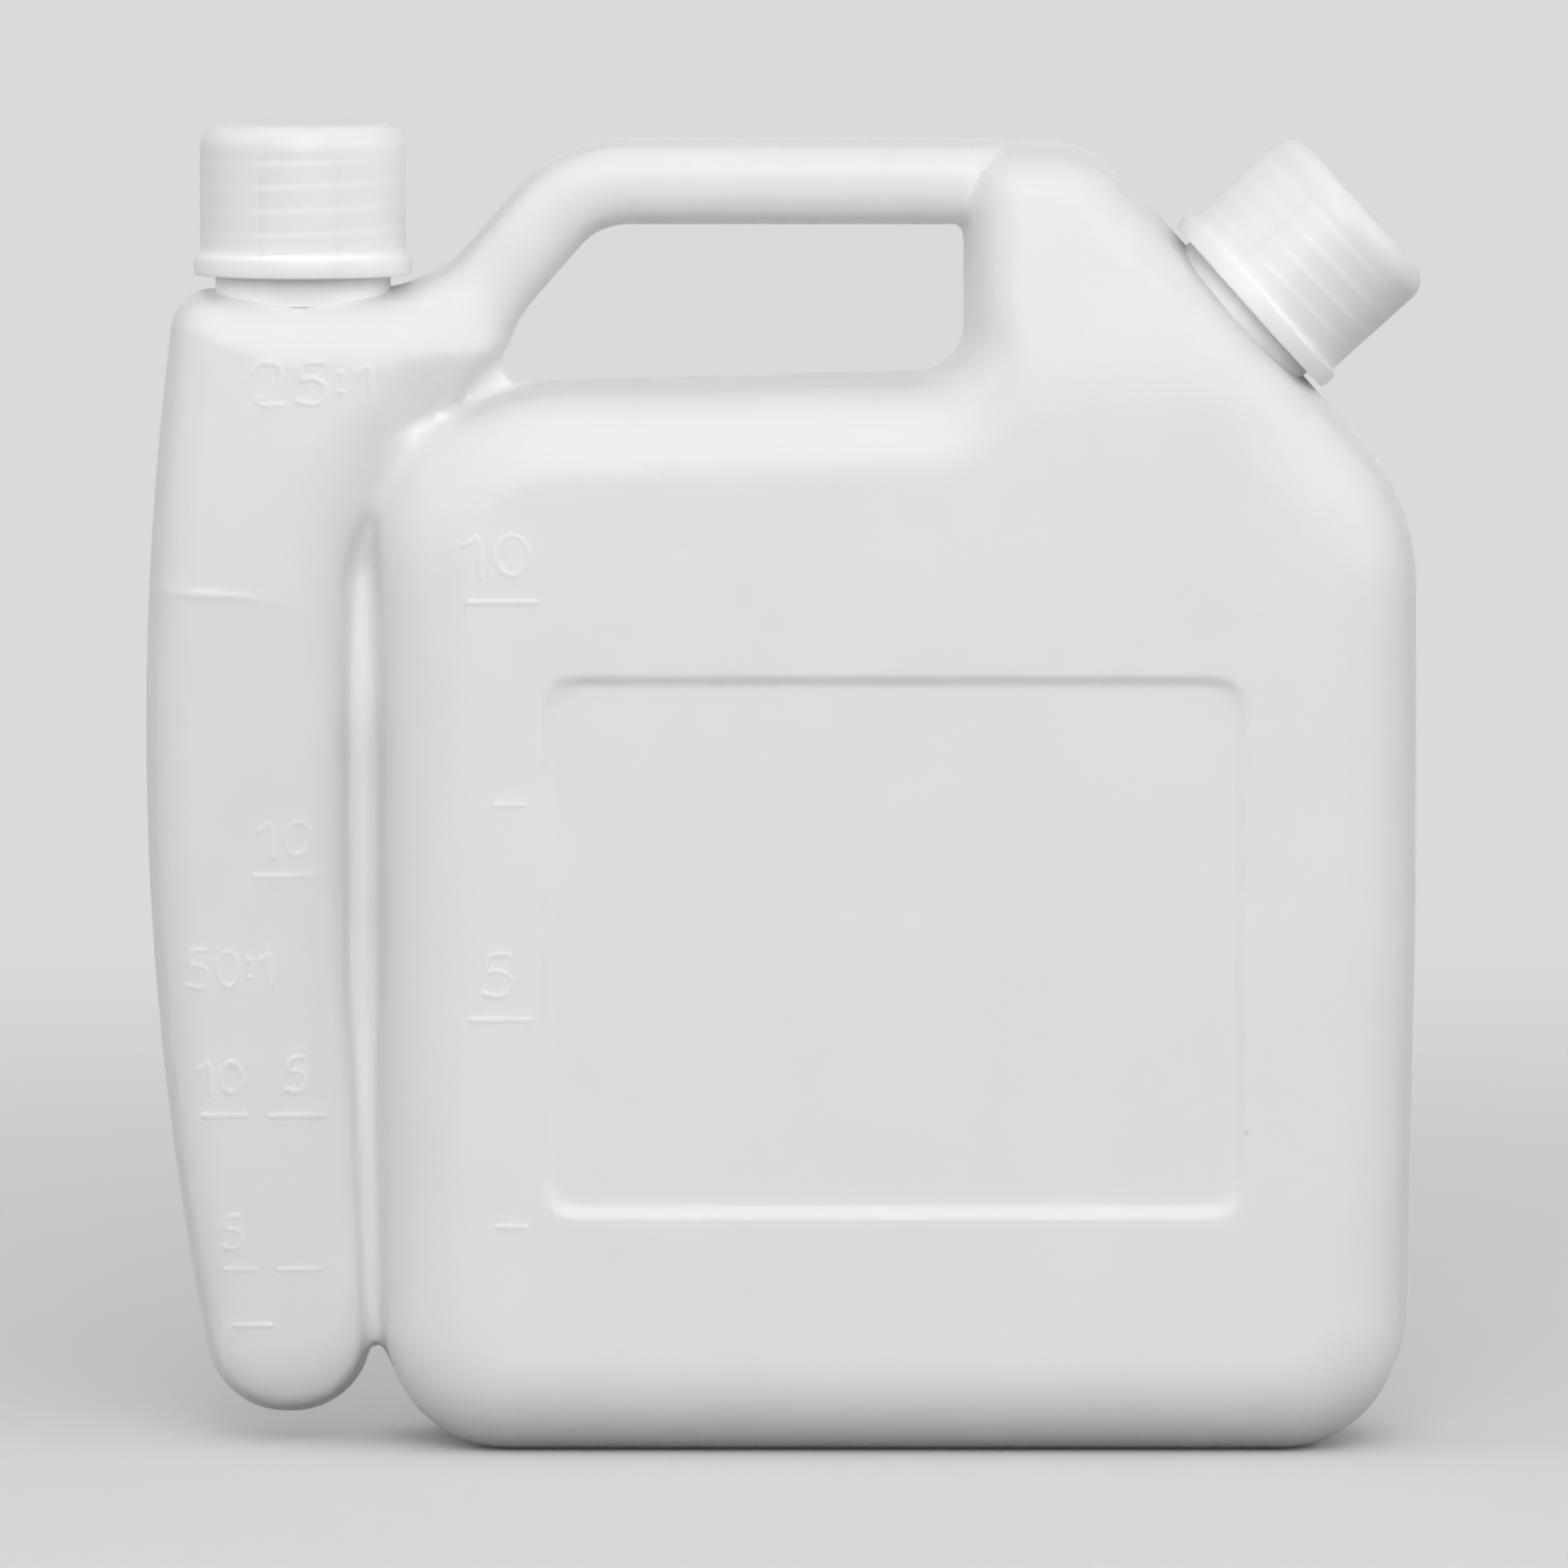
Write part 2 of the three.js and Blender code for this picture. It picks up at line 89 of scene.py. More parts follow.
# Necks and caps
NECK_RADIUS, BORE_RADIUS, COLLAR_RADIUS, COLLAR_HEIGHT, NECK_ROOT = 13.3, 12.2, 14.1, 3.4, 2.2
THREAD_PITCH, THREAD_START, THREAD_WIDTH = 3.85, -1.6, 1.5
NECK_CREST, CAP_CREST = 14.35, 13.85
CAP_RADIUS, CAP_HEIGHT, CAP_WALL, CAP_TOP, CAP_EDGE = 16.5, 24.4, 1.65, 2.2, 4.0
FLANGE_RADIUS, FLANGE_HEIGHT = 17.55, 3.1
LINER_THICKNESS, SEAT_GAP = 2.7, 0.3
# "lit" is the span of turn where a cap's painted thread light is strongest; "seams" are the mould seams'
# turns
NECKS = {
    "oil_cap": {"x": -77.4, "z": CHAMBER_TOP, "tilt": 0.0, "lift": 2.4,
                "seams": (-22, 22), "lit": (-23, 11)},
    "fuel_cap": {"x": 74.0918, "z": 182.8553, "tilt": SHOULDER_TURN, "lift": 1.05,
                 "seams": (-26, 154), "lit": (-10, 36)},
}


# Specks in the plastic of the front: place, radius and darkening
SPECKS = [
    ((-17.3, -24.2, 25.0), 0.7, 0.80), ((-42.0, -22.8, 10.8), 1.0, 0.86),
    ((74.0, -24.9, 52.5), 0.5, 0.84), ((-36.1, -25.0, 116.2), 0.5, 0.86),
    ((-34.0, -21.0, 3.6), 0.8, 0.80)]


# Plane geometry
def along(point, angle, distance):
    turn = math.radians(angle)
    return (point[0] + distance * math.cos(turn), point[1] + distance * math.sin(turn))


def meet(a, angle_a, b, angle_b):
    (ux, uz), (vx, vz) = along((0, 0), angle_a, 1), along((0, 0), angle_b, 1)
    t = ((b[0] - a[0]) * vz - (b[1] - a[1]) * vx) / (ux * vz - uz * vx)
    return (a[0] + ux * t, a[1] + uz * t)


def rounded(corners, step=3.0):
    """A closed outline through (x, z, radius) corners, counter-clockwise, with true arcs."""
    points = []
    count = len(corners)
    for i, (x, z, radius) in enumerate(corners):
        before, after = np.array(corners[i - 1][:2]), np.array(corners[(i + 1) % count][:2])
        here = np.array([x, z])
        a = (here - before) / np.linalg.norm(here - before)
        b = (after - here) / np.linalg.norm(after - here)
        turn = math.atan2(a[0] * b[1] - a[1] * b[0], a @ b)
        reach = radius * math.tan(abs(turn) / 2)
        start = here - a * reach
        side = math.copysign(radius, turn)
        centre = start + np.array([-a[1], a[0]]) * side
        steps = max(1, math.ceil(max(abs(turn) / math.radians(step), abs(turn) * radius / 6)))
        for k in range(steps + 1):
            swing = turn * k / steps
            dx, dz = start - centre
            points.append((centre[0] + dx * math.cos(swing) - dz * math.sin(swing),
                           centre[1] + dx * math.sin(swing) + dz * math.cos(swing)))
    return np.array(points)


def signed_distance(points, x, z):
    """Distance to a closed outline, negative inside it."""
    x, z = np.broadcast_arrays(x, z)
    nearest = np.full(x.shape, 1e9)
    inside = np.zeros(x.shape, bool)
    for (ax, az), (bx, bz) in zip(points, np.roll(points, -1, axis=0)):
        ex, ez = bx - ax, bz - az
        if ex * ex + ez * ez < 1e-12:
            continue
        wx, wz = x - ax, z - az
        t = np.clip((wx * ex + wz * ez) / (ex * ex + ez * ez), 0, 1)
        nearest = np.minimum(nearest, (wx - t * ex) ** 2 + (wz - t * ez) ** 2)
        if az != bz:
            inside ^= ((az > z) != (bz > z)) & (x < ex * (z - az) / ez + ax)
    return np.where(inside, -1, 1) * np.sqrt(nearest)


def smooth(low, high, value):
    t = np.clip((value - low) / (high - low), 0, 1)
    return t * t * (3 - 2 * t)


def soft_min(a, b, k):
    h = np.maximum(k - np.abs(a - b), 0) / np.maximum(k, 1e-6)
    return np.minimum(a, b) - h * h * k / 4


LEG_INNER = along(LEG_OUTER, HANDLE_TURN - 90, HANDLE_THICKNESS)
LEG_BACK = HANDLE_TURN - 180
SHOULDER_END = meet(SHOULDER_START, -SHOULDER_TURN, (TANK_RIGHT, 0), 90)
UNDERSIDE = TOP_HEIGHT - HANDLE_THICKNESS
HOLE_CORNER = along(LEG_INNER, LEG_BACK, 1.8)
DECK_POINT = along(HOLE_CORNER, -50, 8.6)

TANK = rounded([
    (TANK_LEFT, 0, 21.4), (TANK_RIGHT - 1.6, 0, 21.4), (TANK_RIGHT, 82.8, 36),
    (*SHOULDER_END, 36), (*SHOULDER_START, 18.2), (TOWER_LEFT, TOP_HEIGHT, 9),
    (TOWER_LEFT, DECK_HEIGHT + 2.6, 7.6), (TANK_LEFT, DECK_HEIGHT, 29.3)])
CHAMBER = rounded([
    (-91.2, CHAMBER_FOOT, 12.6), (-66.3, CHAMBER_FOOT, 12.6), (CHAMBER_RIGHT, 80, 34),
    (*meet(LEG_INNER, HANDLE_TURN, (CHAMBER_RIGHT, 0), 90), 34), (*LEG_INNER, 1),
    (*LEG_OUTER, 1), (CHAMBER_TOP_LEFT, CHAMBER_TOP, 7), (-108.2, 95, 514)])
HANDLE = rounded([
    (*along(LEG_INNER, LEG_BACK, 13.6), 1),
    (*meet(LEG_INNER, HANDLE_TURN, (0, UNDERSIDE), 0), HANDLE_BEND - HANDLE_THICKNESS),
    (TOWER_LEFT + 7, UNDERSIDE, 1), (TOWER_LEFT + 7, TOP_HEIGHT, 1),
    (*meet(LEG_OUTER, HANDLE_TURN, (0, TOP_HEIGHT), 0), HANDLE_BEND),
    (*along(LEG_OUTER, LEG_BACK, 13.6), 1)])
WEB = np.array([
    (CHAMBER_RIGHT - 6, WEB_FOOT), (TANK_LEFT + 6, WEB_FOOT), (TANK_LEFT + 6, 141.5),
    along(DECK_POINT, -HANDLE_TURN, 6), DECK_POINT, HOLE_CORNER,
    along(HOLE_CORNER, HANDLE_TURN + 90, 6), (CHAMBER_RIGHT - 6, CHAMBER_CREASE)])
PANEL = rounded([
    (PANEL_LEFT, PANEL_FOOT, PANEL_CORNER), (PANEL_RIGHT, PANEL_FOOT, PANEL_CORNER),
    (PANEL_RIGHT, PANEL_TOP, PANEL_CORNER), (PANEL_LEFT, PANEL_TOP, PANEL_CORNER)])
BASE = rounded([
    (BASE_LEFT, -BASE_HALF, BASE_CORNER), (BASE_RIGHT, -BASE_HALF, BASE_CORNER),
    (BASE_RIGHT, BASE_HALF, BASE_CORNER), (BASE_LEFT, BASE_HALF, BASE_CORNER)])


# The shell as a field that is negative inside it
def blown(distance, y, depth, round_, fall, draft, half, inset=0):
    """A form that is drawn in by its draft, then rounded over its fall to the faces."""
    deep = np.abs(y) * depth / 2 / half
    straight = depth / 2 - round_
    slope = draft * np.minimum(np.sqrt(deep * deep + 0.2) / straight, 1)
    side = (distance + slope) * round_ / fall
    face = deep - depth / 2 + inset
    return (np.hypot(np.maximum(side + round_, 0), np.maximum(face + round_, 0)) - round_
            + np.minimum(np.maximum(side, face) + round_, 0))


def shell(x, y, z):
    tank_half = soft_min(TANK_DEPTH / 2 + 0 * z, TANK_DEPTH / 2 - (z - LEAN_HEIGHT)
                         * (TANK_DEPTH - TOWER_TOP_DEPTH) / 2 / (TOP_HEIGHT - LEAN_HEIGHT), 1.0)
    fall = TANK_ROUND + (TOWER_FALL - TANK_ROUND) * smooth(158, 188, z)
    pressed = PANEL_DEPTH * smooth(0, PANEL_SLOPE, -signed_distance(PANEL, x, z))
    tank = blown(signed_distance(TANK, x, z), y, TANK_DEPTH, TANK_ROUND, fall,
                 TANK_DRAFT * smooth(0, 24, z), tank_half, pressed)
    tank = np.maximum(tank, BASE_DEPTH * smooth(0, BASE_SLOPE, -signed_distance(BASE, x, y)) - z)

    chamber_half = soft_min(CHAMBER_DEPTH / 2 + 0 * z, CHAMBER_DEPTH / 2 + (z - CHAMBER_CREASE)
                            * (CHAMBER_DEPTH - CHAMBER_FOOT_DEPTH) / 2
                            / (CHAMBER_CREASE - CHAMBER_FOOT), 0.3)
    crease = CHAMBER_CREASE - 1.6 * smooth(-104, -70, x)
    chamber_half = chamber_half + (CREASE_RIDGE * (1 - smooth(0.2, 1.1, np.abs(z - crease)))
                                   * (1 - smooth(-94, -76, x)))
    fall = CHAMBER_FALL + (VALLEY_FALL - CHAMBER_FALL) * smooth(-92, -78, x)
    chamber = blown(signed_distance(CHAMBER, x, z), y, CHAMBER_DEPTH, CHAMBER_ROUND, fall,
                    CHAMBER_DRAFT, chamber_half)

    handle = blown(signed_distance(HANDLE, x, z), y, HANDLE_DEPTH, HANDLE_ROUND, HANDLE_ROUND,
                   HANDLE_DRAFT, HANDLE_DEPTH / 2)
    body = soft_min(chamber, handle, 7.0)
    saddle = SADDLE * (smooth(20, 60, z) + smooth(105, 158, z)) * (1 - smooth(162, 170, z))
    body = soft_min(body, tank, (3.0 + saddle) * (1 - smooth(201, 207, z)))
    web = np.maximum(signed_distance(WEB, x, z), np.abs(y) - WEB_THICKNESS / 2)
    flash = FLASH * smooth(0.5, 4, z) * (1 - smooth(0.12, 0.5, np.abs(y)))
    return soft_min(body, web, WEB_FILLET) - flash


def spaced(*stretches):
    """Grid lines along one axis, from (start, end, pitch) stretches that follow each other."""
    lines = []
    for start, end, pitch in stretches:
        count = max(1, round((end - start) / pitch))
        lines += [start + (end - start) * k / count for k in range(count)]
    return np.array([*lines, stretches[-1][1]])


def surface(field, xs, ys, zs):
    """A closed mesh of quads on the zero level of a field, one vertex in each crossed cell."""
    grid = np.stack(np.meshgrid(xs, ys, zs, indexing="ij"), -1)
    values = field(xs[:, None, None], ys[None, :, None], zs[None, None, :])
    inside = values < 0
    cells = tuple(n - 1 for n in values.shape)
    total, count = np.zeros((*cells, 3)), np.zeros(cells)
    crossings = []
    for axis in range(3):
        low = tuple(slice(None, -1) if i == axis else slice(None) for i in range(3))
        high = tuple(slice(1, None) if i == axis else slice(None) for i in range(3))
        crossed = inside[low] != inside[high]
        share = np.where(crossed, values[low] / np.where(crossed, values[low] - values[high], 1), 0)
        point = (grid[low] + (grid[high] - grid[low]) * share[..., None]) * crossed[..., None]
        crossings.append((axis, crossed, inside[low]))
        others = [i for i in range(3) if i != axis]
        for a in (0, 1):
            for b in (0, 1):
                part = [slice(None)] * 3
                for i, shift in zip(others, (a, b)):
                    part[i] = slice(shift, cells[i] + shift)
                total += point[tuple(part)]
                count += crossed[tuple(part)]
    used = count > 0
    index = np.full(cells, -1)
    index[used] = np.arange(used.sum())
    vertices = total[used] / count[used][:, None]
    quads = []
    for axis, crossed, starts_inside in crossings:
        i, j = (axis + 1) % 3, (axis + 2) % 3
        at = np.argwhere(crossed)
        keep = np.all([(at[:, k] > 0) & (at[:, k] < cells[k]) for k in (i, j)], axis=0)
        at = at[keep]
        corners = []
        for a, b in ((1, 1), (0, 1), (0, 0), (1, 0)):
            cell = at.copy()
            cell[:, i] -= a
            cell[:, j] -= b
            corners.append(index[tuple(cell.T)])
        quad = np.stack(corners, -1)
        flip = ~starts_inside[tuple(at.T)]
        quad[flip] = quad[flip][:, ::-1]
        quads.append(quad)
    return vertices, np.concatenate(quads)


def gradient(field, points, step=0.02):
    here = field(*points.T)
    moved = [field(*(points + step * np.eye(3)[k]).T) for k in range(3)]
    return here, (np.stack(moved, -1) - here[:, None]) / step


def settled(field, points, rounds=2, limit=0.8):
    """Points moved onto the zero level of a field."""
    for _ in range(rounds):
        value, slope = gradient(field, points)
        move = -value[:, None] * slope / np.maximum((slope ** 2).sum(1), 0.05)[:, None]
        length = np.linalg.norm(move, axis=1, keepdims=True)
        points = points + move * np.minimum(1, limit / np.maximum(length, 1e-9))
    return points


def mesh_object(name, vertices, faces):
    mesh = bpy.data.meshes.new(name)
    mesh.from_pydata((np.asarray(vertices) * MM).tolist(), [], np.asarray(faces).tolist()
                     if isinstance(faces, np.ndarray) else faces)
    mesh.validate()
    made = bpy.data.objects.new(name, mesh)
    bpy.context.scene.collection.objects.link(made)
    return made


def joined(target, tool, operation):
    """A boolean of two closed objects; the tool is used up."""
    modifier = target.modifiers.new("join", "BOOLEAN")
    modifier.operation = operation
    modifier.solver = "MANIFOLD"
    modifier.object = tool
    depsgraph = bpy.context.evaluated_depsgraph_get()
    result = bpy.data.meshes.new_from_object(target.evaluated_get(depsgraph))
    target.modifiers.clear()
    old = target.data
    target.data = result
    bpy.data.meshes.remove(old)
    bpy.data.objects.remove(tool)
    return target


def evened(made, angle=40):
    """Normals weighted by face area, so that the slivers which the booleans leave don't show."""
    made.data.shade_smooth()
    made.data.set_sharp_from_angle(angle=math.radians(angle))
    modifier = made.modifiers.new("normals", "WEIGHTED_NORMAL")
    modifier.keep_sharp = True
    modifier.weight = 80
    depsgraph = bpy.context.evaluated_depsgraph_get()
    result = bpy.data.meshes.new_from_object(made.evaluated_get(depsgraph))
    made.modifiers.clear()
    made.data = result


# Round forms: rings of one radius for each angle and height, capped at both ends
def place_matrix(place, lift=0.0):
    tilt = math.radians(place["tilt"])
    axis = Vector((math.sin(tilt), 0, math.cos(tilt)))
    start = Vector((place["x"], 0, place["z"])) + axis * lift
    return Matrix.Translation(start) @ Matrix.Rotation(tilt, 4, "Y")


def thread(turn, height, start, end, offset):
    """0 to 1 across a helical ridge between two heights, with run-out ends."""
    phase = (height - offset - THREAD_PITCH * turn / (2 * math.pi)) / THREAD_PITCH
    away = np.abs(phase - np.round(phase)) * THREAD_PITCH
    ridge = 1 - smooth(THREAD_WIDTH * 0.25, THREAD_WIDTH, away)
    return ridge * smooth(start, start + 1.5, height) * (1 - smooth(end - 1.5, end, height))


def turned(name, profile, sides, place, lift=0.0, ridge=None):
    """A closed turned mesh. The profile is (radius, height); its ends lie on the axis."""
    turns = np.arange(sides) * 2 * math.pi / sides
    rings = []
    for radius, height in profile[1:-1]:
        radii = np.full(sides, radius) if ridge is None else ridge(radius, turns, height)
        rings.append(np.stack([radii * np.cos(turns), radii * np.sin(turns),
                               np.full(sides, height)], -1))
    vertices = [np.array([[0, 0, profile[0][1]]]), *rings, np.array([[0, 0, profile[-1][1]]])]
    vertices = np.concatenate(vertices)
    faces = []
    for k in range(sides):
        n = (k + 1) % sides
        faces.append((0, 1 + n, 1 + k))
        for r in range(len(rings) - 1):
            a, b = 1 + r * sides, 1 + (r + 1) * sides
            faces.append((a + k, a + n, b + n, b + k))
        last = 1 + (len(rings) - 1) * sides
        faces.append((last + k, last + n, len(vertices) - 1))
    made = mesh_object(name, vertices, faces)
    move = place_matrix(place, lift)
    move.translation *= MM
    made.data.transform(move)
    return made


def steps(start, end, pitch):
    count = max(1, round(abs(end - start) / pitch))
    return [start + (end - start) * k / count for k in range(count + 1)]


CAP_ROOF = CAP_HEIGHT - CAP_TOP
LINER_TOP = CAP_ROOF - SEAT_GAP
LINER_FOOT = LINER_TOP - LINER_THICKNESS
SIDES = 144


def arc(radius, height, size, start, end, count=6):
    return [(radius + size * math.cos(math.radians(a)), height + size * math.sin(math.radians(a)))
            for a in np.linspace(start, end, count + 1)]


def neck(name, place):
    lip = place["lift"] + LINER_FOOT - SEAT_GAP
    start, end = 5.2, lip - 1.2

    def ridge(radius, turns, height):
        size = thread(turns, height, start, end, place["lift"] + THREAD_START)
        return radius + np.where(abs(radius - NECK_RADIUS) < 0.01, (NECK_CREST - NECK_RADIUS), 0) * size

    profile = [(0, -NECK_ROOT), (COLLAR_RADIUS, -NECK_ROOT), (COLLAR_RADIUS, COLLAR_HEIGHT - 0.3),
               (COLLAR_RADIUS - 0.3, COLLAR_HEIGHT),
               *((NECK_RADIUS, h) for h in steps(COLLAR_HEIGHT + 0.8, lip - 0.4, 0.35)),
               (NECK_RADIUS - 0.15, lip - 0.12), (NECK_RADIUS - 0.4, lip), (0, lip)]
    return turned(name, profile, SIDES, place, ridge=ridge)


def bore(name, place):
    lip = place["lift"] + LINER_FOOT - SEAT_GAP
    inside = COLLAR_RADIUS - WALL
    profile = [(0, -NECK_ROOT - WALL), (BORE_RADIUS + 1.8, -NECK_ROOT - WALL),
               (BORE_RADIUS + 1.8, -WALL), (inside, 0),
               (BORE_RADIUS, COLLAR_HEIGHT - inside + BORE_RADIUS), (BORE_RADIUS, lip - 0.3),
               (BORE_RADIUS + 0.1, lip - 0.1), (BORE_RADIUS + 0.35, lip), (BORE_RADIUS + 0.35, lip + 1),
               (0, lip + 1)]
    return turned(name, profile, SIDES, place)


def cap(name, place):
    inside = CAP_RADIUS - CAP_WALL

    def ridge(radius, turns, height):
        size = thread(turns, height, 1.2, LINER_FOOT - 0.8, THREAD_PITCH / 2 + THREAD_START)
        return radius - np.where(abs(radius - inside) < 0.01, inside - CAP_CREST, 0) * size

    profile = [(0, CAP_ROOF), (inside - 0.6, CAP_ROOF), (inside, CAP_ROOF - 0.6),
               *((inside, h) for h in steps(CAP_ROOF - 0.9, 0.5, 0.35)), (inside + 0.3, 0),
               (FLANGE_RADIUS - 0.3, 0), *arc(FLANGE_RADIUS - 0.4, 0.4, 0.4, -60, 0, 3),
               *arc(FLANGE_RADIUS - 0.5, FLANGE_HEIGHT - 0.5, 0.5, 0, 90, 4),
               (CAP_RADIUS + 0.35, FLANGE_HEIGHT), (CAP_RADIUS + 0.1, FLANGE_HEIGHT + 0.1),
               (CAP_RADIUS, FLANGE_HEIGHT + 0.35),
               *((CAP_RADIUS, h) for h in steps(FLANGE_HEIGHT + 0.8, CAP_HEIGHT - CAP_EDGE, 0.4)),
               *arc(CAP_RADIUS - CAP_EDGE, CAP_HEIGHT - CAP_EDGE, CAP_EDGE, 0, 90, 10),
               (CAP_RADIUS / 2, CAP_HEIGHT), (0, CAP_HEIGHT)]
    return painted_cap_light_and_seams(turned(name, profile, SIDES, place, place["lift"], ridge), place)


def painted_cap_light_and_seams(made, place):
    """A cap's tone by point: painted light on the thread crests, strongest over the lit span, painted
    shadow in a band at the liner disc on one side, and the mould seams dark.
    """
    move = place_matrix(place, place["lift"])
    move.translation *= MM
    back = np.array(move.inverted())
    points = np.array([v.co for v in made.data.vertices])
    points = (points @ back[:3, :3].T + back[:3, 3]) / MM
    turn, height = np.arctan2(points[:, 1], points[:, 0]), points[:, 2]
    outside = (np.hypot(points[:, 0], points[:, 1]) > CAP_RADIUS - 0.8) & (height > FLANGE_HEIGHT)
    # Painted highlight: the thread crests seen through the wall are made lighter
    phase = (height - THREAD_START) / THREAD_PITCH - 0.5 - turn / (2 * math.pi)
    away = np.abs(phase - np.round(phase)) * THREAD_PITCH
    painted_crest_light = (1 - smooth(0.2, 0.75, away)) * (1 - smooth(LINER_FOOT - 0.4, LINER_FOOT, height))
    around = np.degrees(turn) + 90
    first, last = place["lit"]
    # The painted crest light is strongest over the neck's lit span of turn
    lit = 0.35 + 0.65 * smooth(first - 8, first, around) * (1 - smooth(last, last + 25, around))
    # Painted shadow of the liner disc: a darker band, on one side only
    painted_liner_shadow = 1 - smooth(0.6, 2.2, np.abs(height - (LINER_FOOT + LINER_TOP) / 2))
    tone = 1 + 0.07 * painted_crest_light * lit - 0.035 * painted_liner_shadow * (1 - smooth(-20, 40, around))
    for seam in place["seams"]:
        line = 1 - smooth(0.6, 2.6, np.abs(around - seam))
        tone -= 0.03 * line * (height < LINER_FOOT)
    values = np.where(outside, tone, 1.0)
    layer = made.data.color_attributes.new("painted_light_and_seams", "FLOAT_COLOR", "POINT")
    layer.data.foreach_set("color", np.repeat(values, 4).astype(np.float32))
    return made


def painted_web_glow(made):
    """The shell's tone by point: painted glow, lighter near the thin web in the groove, for the light
    that the web lets through.
    """
    points = np.array([v.co for v in made.data.vertices]) / MM
    x, y, z = points.T
    groove = (CHAMBER_RIGHT + TANK_LEFT) / 2
    across = 1 - smooth(2.5, 8.5, np.abs(x - groove))
    deep = 1 - smooth(4, 20, np.abs(y))
    glow = PAINTED_WEB_GLOW * (smooth(12, 30, z) + 2 * smooth(110, 128, z)) * (1 - smooth(142, 160, z))
    tone = 1 + glow * across * deep
    layer = made.data.color_attributes.new("painted_light_and_seams", "FLOAT_COLOR", "POINT")
    layer.data.foreach_set("color", np.repeat(tone, 4).astype(np.float32))


def liner(name, place):
    radius = CAP_RADIUS - CAP_WALL - SEAT_GAP
    profile = [(0, LINER_FOOT), (radius - 0.3, LINER_FOOT), (radius, LINER_FOOT + 0.3),
               (radius, LINER_TOP - 0.3), (radius - 0.3, LINER_TOP), (0, LINER_TOP)]
    return turned(name, profile, SIDES, place, place["lift"])


# Scale marks: beads of flat half-round section laid along their strokes on the shell
STROKES = {
    "0": (1.0, [[(0.5, 1), (0.1, 0.8), (0, 0.5), (0.1, 0.2), (0.5, 0), (0.9, 0.2), (1, 0.5),
                 (0.9, 0.8), (0.5, 1)]]),
    "1": (0.5, [[(0, 0.72), (1, 1), (1, 0)]]),
    "2": (1.0, [[(0.02, 0.75), (0.15, 0.95), (0.5, 1), (0.85, 0.93), (0.97, 0.73), (0.85, 0.52),
                 (0.4, 0.22), (0.05, 0), (1, 0)]]),
    "5": (1.0, [[(0.9, 1), (0.15, 1), (0.1, 0.55), (0.5, 0.64), (0.95, 0.5), (1, 0.3),
                 (0.85, 0.06), (0.45, 0), (0.05, 0.08)]]),
    ":": (0.12, [[(0, 0.3), (1, 0.3)], [(0, 0.75), (1, 0.75)]])}


def softened(path, rounds=3):
    """A path with its corners cut; a closed one stays closed."""
    closed = path[0] == path[-1]
    points = np.array(path, float)
    for _ in range(rounds):
        a, b = points[:-1], points[1:]
        cut = np.stack([a * 0.75 + b * 0.25, a * 0.25 + b * 0.75], 1).reshape(-1, 2)
        points = np.vstack([cut, cut[:1]]) if closed else np.vstack([points[:1], cut, points[-1:]])
    return points


def number_paths(text, left, foot, right, top):
    gap = 0.42
    widths = [STROKES[c][0] for c in text]
    unit = (right - left) / (sum(widths) + gap * (len(text) - 1))
    start = left
    for character, width in zip(text, widths):
        for path in STROKES[character][1]:
            points = np.array(path) * (width * unit, top - foot) + (start, foot)
            yield softened([tuple(p) for p in points], 2 if character in "05" else 1)
        start += (width + gap) * unit


def on_front(points):
    """The front of the shell behind (x, z) points, and its normals there."""
    low, high = np.full(len(points), -27.0), np.full(len(points), -2.0)
    for _ in range(24):
        middle = (low + high) / 2
        outside = shell(points[:, 0], middle, points[:, 1]) > 0
        low, high = np.where(outside, middle, low), np.where(outside, high, middle)
    at = np.stack([points[:, 0], (low + high) / 2, points[:, 1]], -1)
    slope = gradient(shell, at)[1]
    return at, slope / np.linalg.norm(slope, axis=1, keepdims=True)


def bead(at, normal, closed, sides=12):
    """One closed bead: its vertices and faces."""
    count = len(at)
    ahead, behind = np.roll(at, -1, axis=0), np.roll(at, 1, axis=0)
    if not closed:
        ahead[-1], behind[0] = at[-1], at[0]
    way = ahead - behind
    way /= np.linalg.norm(way, axis=1, keepdims=True)
    across = np.cross(normal, way)
    across /= np.linalg.norm(across, axis=1, keepdims=True)
    if not closed:
        reach = BEAD_WIDTH / 2
        at = np.vstack([at[:1] - way[:1] * reach, at[:1] - way[:1] * reach * 0.7, at,
                        at[-1:] + way[-1:] * reach * 0.7, at[-1:] + way[-1:] * reach])
        across = np.vstack([across[:1]] * 2 + [across] + [across[-1:]] * 2)
        normal = np.vstack([normal[:1]] * 2 + [normal] + [normal[-1:]] * 2)
        count += 4
    share = np.ones(count)
    if not closed:
        share[[0, -1]], share[[1, -2]] = 0.1, 0.7
    angles = np.arange(sides) * 2 * math.pi / sides
    ring = (across[:, None] * np.cos(angles)[:, None] * BEAD_WIDTH / 2
            + normal[:, None] * np.sin(angles)[:, None] * BEAD_HEIGHT) * share[:, None, None]
    vertices = (at[:, None] + ring - normal[:, None] * (BEAD_HEIGHT - BEAD_PROUD)).reshape(-1, 3)
    faces = []
    for i in range(count if closed else count - 1):
        n = (i + 1) % count
        for j in range(sides):
            k = (j + 1) % sides
            faces.append((i * sides + j, i * sides + k, n * sides + k, n * sides + j))
    if not closed:
        faces.append(tuple(range(sides - 1, -1, -1)))
        faces.append(tuple(range((count - 1) * sides, count * sides)))
    return vertices, faces


